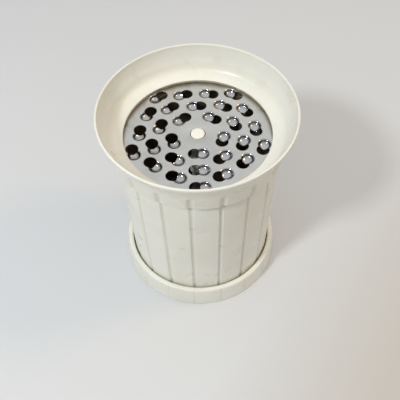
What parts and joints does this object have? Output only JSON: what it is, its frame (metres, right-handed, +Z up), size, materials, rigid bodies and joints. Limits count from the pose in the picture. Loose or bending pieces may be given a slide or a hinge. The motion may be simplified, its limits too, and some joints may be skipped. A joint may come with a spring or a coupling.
{
  "type": "rotary cheese grater",
  "caption": "Hand cheese mill: fluted barrel with a screw-fed chamber, a base cap that turns the screw and a flared revolving collar holding a steel grating disc.",
  "frame": {"origin": "middle of the base cap's foot, on the surface that the mill stands on", "axes": "+Z up along the mill's axis from the base cap to the flared outlet; -Y is the side seen first"},
  "size_m": [0.09, 0.09, 0.106],
  "materials": {
    "cream_plastic": "moulded cream plastic, satin gloss",
    "disc_steel": "satin stainless sheet with bright pressed cutters",
    "fastener_steel": "bright plated steel",
    "bearing_plastic": "off-white acetal, matt",
    "seal_silicone": "translucent grey silicone"
  },
  "bodies": {
    "barrel": {"barrel_shell": "cream_plastic", "chamber_liner": "cream_plastic", "liner_screw_1": "fastener_steel", "liner_screw_2": "fastener_steel", "liner_screw_3": "fastener_steel"},
    "head_ring": {"bearing_ring": "cream_plastic", "collar_snap_ring": "fastener_steel", "glide_washer": "bearing_plastic"},
    "head": {"outlet_collar": "cream_plastic", "grating_disc": "disc_steel", "disc_retainer": "cream_plastic"},
    "feed": {"base_cap": "cream_plastic", "feed_screw": "cream_plastic", "base_fixing_screw": "fastener_steel", "screw_plug": "cream_plastic", "thrust_washer": "bearing_plastic", "spindle_clip": "fastener_steel", "spindle_o_ring": "seal_silicone"},
    "follower": {"follower_plate": "cream_plastic", "follower_nut": "bearing_plastic", "grip_ring": "disc_steel"}
  },
  "joints": [
    {"name": "head_lift", "type": "slide", "parent": "barrel", "child": "head_ring", "axis": [0, 0, 1], "range_m": [0, 0.04]},
    {"name": "head_spin", "type": "hinge", "parent": "head_ring", "child": "head", "pos_m": [0, 0, 0.09], "axis": [0, 0, 1], "continuous": true},
    {"name": "feed_turn", "type": "hinge", "parent": "barrel", "child": "feed", "pos_m": [0, 0, 0.01], "axis": [0, 0, 1], "range_deg": [-2520, 0]},
    {"name": "follower_feed", "type": "slide", "parent": "barrel", "child": "follower", "axis": [0, 0, 1], "range_m": [0, 0.0561]}
  ],
  "couplings": [
    {"joint": "follower_feed", "follows": "feed_turn", "m_per_rad": -0.0012732}
  ]
}
